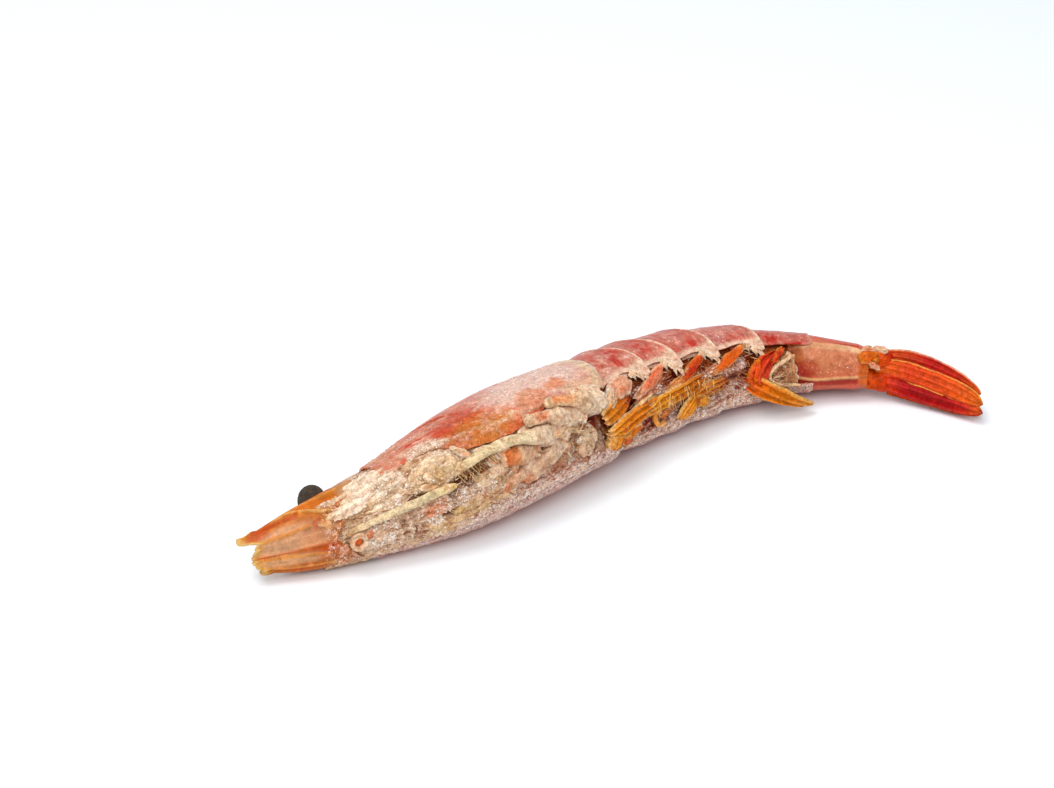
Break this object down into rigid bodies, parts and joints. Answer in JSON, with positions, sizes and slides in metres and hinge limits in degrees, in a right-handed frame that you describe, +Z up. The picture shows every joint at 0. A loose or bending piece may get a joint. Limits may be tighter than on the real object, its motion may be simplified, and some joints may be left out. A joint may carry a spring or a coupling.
{
  "type": "raw red shrimp",
  "caption": "Whole raw red shrimp, frozen, lying on its right side with a gently curved tail, legs and belly turned to the front.",
  "frame": {"origin": "on the table, under the middle of the shrimp's box", "axes": "+X from the head towards the tail along the longest side, +Y towards the back of the shrimp, +Z up away from the table"},
  "size_m": [0.1792, 0.0524, 0.0265],
  "materials": {
    "shell": "pink-red shell with pale rims, lightly frosted, semi-gloss",
    "flesh": "tan-pink soft flesh with granular frost",
    "limb": "cream legs with orange ends, satin",
    "amber": "translucent-looking amber plates with paler edges",
    "tail": "glossy deep red-orange ridged tail blades",
    "eye": "dark grey-brown, finely faceted"
  },
  "bodies": {
    "root": {"antenna_left": "limb", "antenna_right": "limb", "antennule_left": "limb", "antennule_right": "limb", "body": "flesh", "carapace": "shell", "eye_left": "eye", "eye_right": "eye", "leg_left_1": "limb", "leg_left_2": "limb", "leg_left_3": "limb", "leg_left_4": "limb", "leg_left_5": "limb", "leg_right_1": "limb", "leg_right_2": "limb", "leg_right_3": "limb", "leg_right_4": "limb", "leg_right_5": "limb", "maxilliped_left": "limb", "maxilliped_right": "limb", "rostrum": "shell", "scale_left": "amber", "scale_right": "amber", "segment_six": "flesh", "stalk_left": "limb", "stalk_right": "limb", "swimmeret_left_1": "amber", "swimmeret_left_2": "amber", "swimmeret_left_3": "amber", "swimmeret_left_4": "amber", "swimmeret_left_5": "amber", "swimmeret_right_1": "amber", "swimmeret_right_2": "amber", "swimmeret_right_3": "amber", "swimmeret_right_4": "amber", "swimmeret_right_5": "amber", "tail_root_left": "tail", "tail_root_right": "tail", "telson": "tail", "tergite_1": "shell", "tergite_2": "shell", "tergite_3": "shell", "tergite_4": "shell", "tergite_5": "shell", "uropod_inner_left": "tail", "uropod_inner_right": "tail", "uropod_outer_left": "tail", "uropod_outer_right": "tail"}
  },
  "joints": []
}
